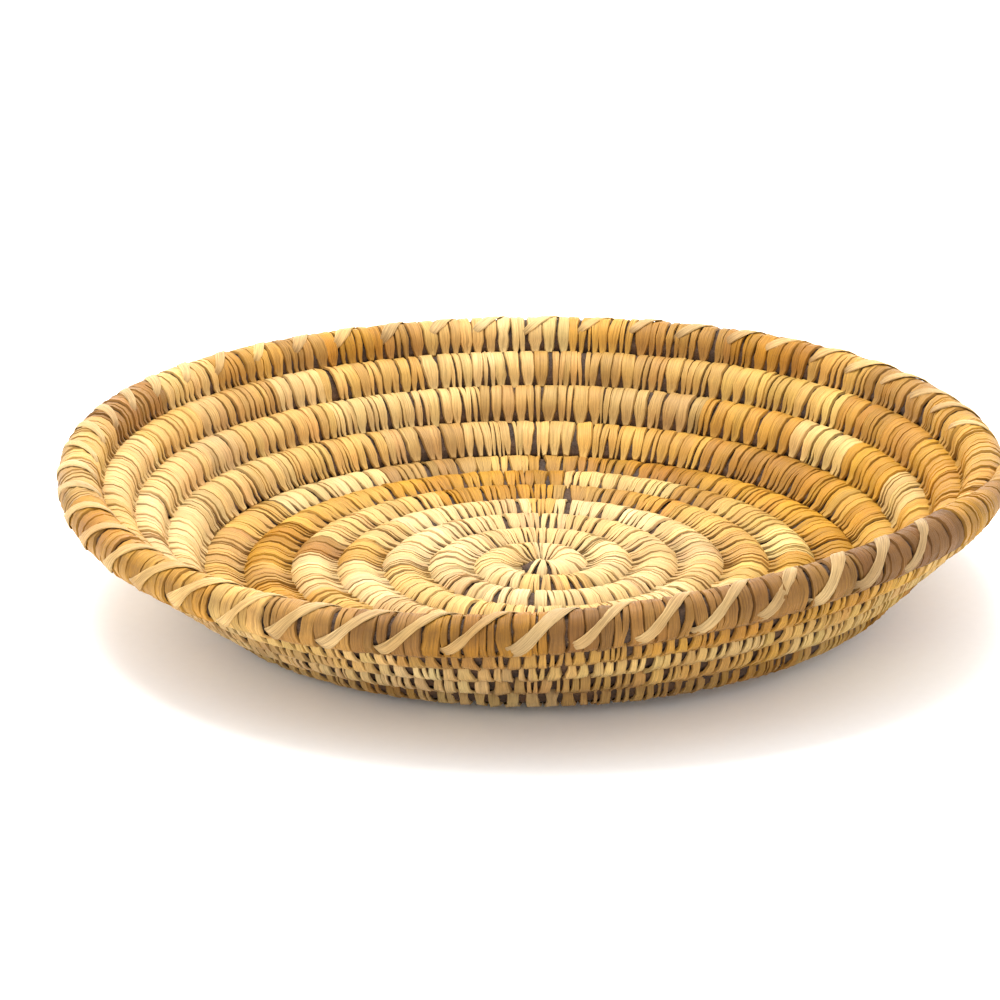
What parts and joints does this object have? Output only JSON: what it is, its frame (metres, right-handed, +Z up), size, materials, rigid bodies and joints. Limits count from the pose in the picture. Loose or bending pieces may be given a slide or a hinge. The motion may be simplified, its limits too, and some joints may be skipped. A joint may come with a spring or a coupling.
{
  "type": "coiled basket tray",
  "caption": "Shallow round coiled basket of palm-leaf strips over a grass bundle, with a flat base, a sloping wall and a lashed rim.",
  "frame": {"origin": "on the flat underside, at the centre that the coil winds out from", "axes": "+Z is up, out of the open side; +X passes through the joins between one round of the coil and the next"},
  "size_m": [0.3106, 0.3189, 0.0599],
  "materials": {
    "knot_leaf": "dry leaf, matte",
    "bundle_grass": "dry grass, matte",
    "base_leaf": "dry palm leaf, low sheen",
    "wall_leaf": "dry palm leaf, low sheen",
    "rim_leaf": "dry palm leaf, low sheen",
    "lashing_leaf": "dry palm leaf, low sheen"
  },
  "bodies": {
    "root": {"start_knot": "knot_leaf", "foundation_bundle": "bundle_grass", "base_round_1_binding": "base_leaf", "base_round_2_binding": "base_leaf", "base_round_3_binding": "base_leaf", "base_round_4_binding": "base_leaf", "base_round_5_binding": "base_leaf", "base_round_6_binding": "base_leaf", "wall_round_1_binding": "wall_leaf", "wall_round_2_binding": "wall_leaf", "wall_round_3_binding": "wall_leaf", "wall_round_4_binding": "wall_leaf", "rim_round_binding": "rim_leaf", "rim_lashing_01": "lashing_leaf", "rim_lashing_02": "lashing_leaf", "rim_lashing_03": "lashing_leaf", "rim_lashing_04": "lashing_leaf", "rim_lashing_05": "lashing_leaf", "rim_lashing_06": "lashing_leaf", "rim_lashing_07": "lashing_leaf", "rim_lashing_08": "lashing_leaf", "rim_lashing_09": "lashing_leaf", "rim_lashing_10": "lashing_leaf", "rim_lashing_11": "lashing_leaf", "rim_lashing_12": "lashing_leaf", "rim_lashing_13": "lashing_leaf", "rim_lashing_14": "lashing_leaf", "rim_lashing_15": "lashing_leaf", "rim_lashing_16": "lashing_leaf", "rim_lashing_17": "lashing_leaf", "rim_lashing_18": "lashing_leaf", "rim_lashing_19": "lashing_leaf", "rim_lashing_20": "lashing_leaf", "rim_lashing_21": "lashing_leaf", "rim_lashing_22": "lashing_leaf", "rim_lashing_23": "lashing_leaf", "rim_lashing_24": "lashing_leaf", "rim_lashing_25": "lashing_leaf", "rim_lashing_26": "lashing_leaf", "rim_lashing_27": "lashing_leaf", "rim_lashing_28": "lashing_leaf", "rim_lashing_29": "lashing_leaf", "rim_lashing_30": "lashing_leaf", "rim_lashing_31": "lashing_leaf", "rim_lashing_32": "lashing_leaf", "rim_lashing_33": "lashing_leaf", "rim_lashing_34": "lashing_leaf", "rim_lashing_35": "lashing_leaf", "rim_lashing_36": "lashing_leaf", "rim_lashing_37": "lashing_leaf", "rim_lashing_38": "lashing_leaf", "rim_lashing_39": "lashing_leaf", "rim_lashing_40": "lashing_leaf", "rim_lashing_41": "lashing_leaf", "rim_lashing_42": "lashing_leaf", "rim_lashing_43": "lashing_leaf", "rim_lashing_44": "lashing_leaf", "rim_lashing_45": "lashing_leaf", "coil_tail": "rim_leaf"}
  },
  "joints": []
}
